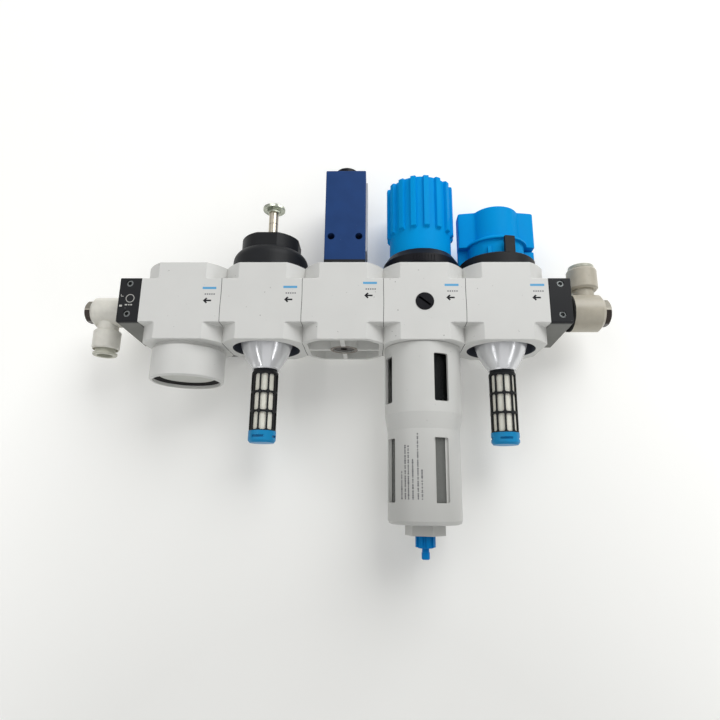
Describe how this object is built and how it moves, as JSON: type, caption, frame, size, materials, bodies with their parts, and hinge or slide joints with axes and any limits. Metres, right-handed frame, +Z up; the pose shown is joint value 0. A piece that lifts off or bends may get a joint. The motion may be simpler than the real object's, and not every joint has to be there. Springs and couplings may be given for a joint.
{
  "type": "compressed-air service unit",
  "caption": "Wall-hung compressed-air service unit: soft-start, solenoid and hand valves, branching module with pressure switch and filter regulator, with swivel elbows.",
  "frame": {"origin": "on the wall plane, midway between the two wall screw holes", "axes": "+X along the row towards the inlet, +Y into the wall, +Z up; the bowl hangs down"},
  "size_m": [0.373, 0.0595, 0.2798],
  "materials": {
    "grey_paint": "satin light grey paint on die-cast aluminium",
    "black_metal": "satin black paint",
    "black_rubber": "matt black rubber",
    "zinc_steel": "bright zinc-plated steel",
    "nickel_brass": "nickel-plated brass",
    "beige_plastic": "semi-gloss beige plastic",
    "ring_plastic": "semi-gloss grey-beige plastic",
    "black_plastic": "fine-grained black plastic",
    "grey_gloss": "glossy silver-grey plastic",
    "white_porous": "porous white sintered plastic",
    "cap_blue": "glossy mid-blue plastic",
    "bright_blue": "semi-gloss bright blue plastic",
    "drain_blue": "glossy deep blue plastic",
    "blue_anodised": "matt dark blue anodised aluminium",
    "pale_cover": "pale grey plastic",
    "clear_bowl": "smoke-tinted clear plastic",
    "brass": "machined brass"
  },
  "bodies": {
    "line": {"soft_start_body": "grey_paint", "solenoid_valve_body": "grey_paint", "branch_body": "grey_paint", "filter_regulator_body": "grey_paint", "shutoff_valve_body": "grey_paint", "soft_start_cup": "grey_paint", "soft_start_end_disc": "grey_paint", "inlet_plate": "black_metal", "outlet_plate": "black_metal", "wall_brackets": "black_metal", "module_seals": "black_rubber", "port_gaskets": "black_rubber", "soft_start_end_seal": "black_rubber", "diaphragm": "black_rubber", "plate_screws": "zinc_steel", "bracket_screws": "zinc_steel", "armature_tube": "zinc_steel", "armature_spring": "zinc_steel", "soft_start_spring": "zinc_steel", "solenoid_poppet_spring": "zinc_steel", "main_spring": "zinc_steel", "valve_spring": "zinc_steel", "coil_nut": "zinc_steel", "banjo_bolts": "nickel_brass", "branch_plug": "nickel_brass", "soft_start_cap": "black_plastic", "pilot_cover": "black_plastic", "silencer_cages": "black_plastic", "switch_base": "black_plastic", "switch_connector": "black_plastic", "bonnet": "black_plastic", "gauge_plug": "black_plastic", "index_ring": "black_plastic", "baffle": "black_plastic", "element_retainer": "black_plastic", "exhaust_cones": "grey_gloss", "silencer_elements": "white_porous", "filter_element": "white_porous", "silencer_caps": "cap_blue", "switch_housing": "blue_anodised", "switch_side_cover": "pale_cover"},
    "flow_screw": {"flow_screw": "zinc_steel"},
    "soft_start_piston": {"soft_start_piston": "brass"},
    "armature": {"armature": "zinc_steel"},
    "solenoid_poppet": {"solenoid_poppet": "brass"},
    "handle": {"shutoff_handle": "bright_blue", "shutoff_spindle": "zinc_steel"},
    "shutoff_poppet": {"shutoff_poppet": "brass"},
    "spindle": {"adjusting_spindle": "zinc_steel"},
    "knob": {"pressure_knob": "bright_blue"},
    "spring_plate": {"spring_plate": "zinc_steel"},
    "valve_stem": {"valve_stem": "brass"},
    "bowl": {"bowl_guard": "grey_paint", "bowl": "clear_bowl"},
    "drain": {"drain_screw": "drain_blue"},
    "inlet_elbow": {"inlet_elbow": "beige_plastic"},
    "outlet_elbow": {"outlet_elbow": "beige_plastic"},
    "inlet_release": {"inlet_release_ring": "ring_plastic"},
    "outlet_release": {"outlet_release_ring": "ring_plastic"},
    "switch_piston": {"switch_piston": "zinc_steel"}
  },
  "joints": [
    {"name": "flow_screw_turn", "type": "hinge", "parent": "line", "child": "flow_screw", "pos_m": [-0.11, -0.0315, -0.006], "axis": [0, 0, 1], "range_deg": [-360, 720]},
    {"name": "soft_start_lift", "type": "slide", "parent": "line", "child": "soft_start_piston", "axis": [0, 0, 1], "range_m": [0, 0.003], "stiffness_N_per_m": 600, "springref_m": -0.004, "deforming": ["soft_start_spring"]},
    {"name": "armature_lift", "type": "slide", "parent": "line", "child": "armature", "axis": [0, 0, 1], "range_m": [0, 0.0008], "stiffness_N_per_m": 300, "springref_m": -0.003, "deforming": ["armature_spring"]},
    {"name": "solenoid_poppet_lift", "type": "slide", "parent": "line", "child": "solenoid_poppet", "axis": [0, 0, 1], "range_m": [0, 0.003], "stiffness_N_per_m": 600, "springref_m": -0.004, "deforming": ["solenoid_poppet_spring"]},
    {"name": "handle_turn", "type": "hinge", "parent": "line", "child": "handle", "pos_m": [0.11, -0.0315, 0.004], "axis": [0, 0, 1], "range_deg": [0, 90]},
    {"name": "shutoff_poppet_drop", "type": "slide", "parent": "line", "child": "shutoff_poppet", "axis": [0, 0, 1], "range_m": [-0.003, 0]},
    {"name": "spindle_turn", "type": "hinge", "parent": "line", "child": "spindle", "pos_m": [0.055, -0.0315, 0.044], "axis": [0, 0, 1], "range_deg": [-2880, 0]},
    {"name": "knob_pull", "type": "slide", "parent": "spindle", "child": "knob", "axis": [0, 0, 1], "range_m": [0, 0.003]},
    {"name": "spring_plate_travel", "type": "slide", "parent": "line", "child": "spring_plate", "axis": [0, 0, 1], "range_m": [-0.008, 0], "deforming": ["main_spring"]},
    {"name": "valve_stem_travel", "type": "slide", "parent": "line", "child": "valve_stem", "axis": [0, 0, -1], "range_m": [0, 0.0015], "stiffness_N_per_m": 800, "springref_m": -0.004, "deforming": ["valve_spring"]},
    {"name": "bowl_twist", "type": "hinge", "parent": "line", "child": "bowl", "pos_m": [0.055, -0.0315, -0.126], "axis": [0, 0, 1], "range_deg": [0, 30]},
    {"name": "drain_turn", "type": "hinge", "parent": "bowl", "child": "drain", "pos_m": [0.055, -0.0315, -0.191], "axis": [0, 0, 1], "range_deg": [0, 360]},
    {"name": "inlet_swivel", "type": "hinge", "parent": "line", "child": "inlet_elbow", "pos_m": [0.1709, -0.0315, -0.036], "axis": [1, 0, 0], "continuous": true},
    {"name": "outlet_swivel", "type": "hinge", "parent": "line", "child": "outlet_elbow", "pos_m": [-0.1709, -0.0315, -0.036], "axis": [1, 0, 0], "continuous": true},
    {"name": "inlet_release_press", "type": "slide", "parent": "inlet_elbow", "child": "inlet_release", "axis": [0, 0, -1], "range_m": [0, 0.0012], "stiffness_N_per_m": 500, "springref_m": -0.002},
    {"name": "outlet_release_press", "type": "slide", "parent": "outlet_elbow", "child": "outlet_release", "axis": [0, 0, 1], "range_m": [0, 0.0012], "stiffness_N_per_m": 500, "springref_m": -0.002},
    {"name": "switch_piston_lift", "type": "slide", "parent": "line", "child": "switch_piston", "axis": [0, 0, 1], "range_m": [0, 0.0006], "stiffness_N_per_m": 500, "springref_m": -0.002}
  ],
  "couplings": [
    {"joint": "shutoff_poppet_drop", "follows": "handle_turn", "m_per_rad": -0.0019099},
    {"joint": "spring_plate_travel", "follows": "spindle_turn", "m_per_rad": 0.00015915}
  ]
}
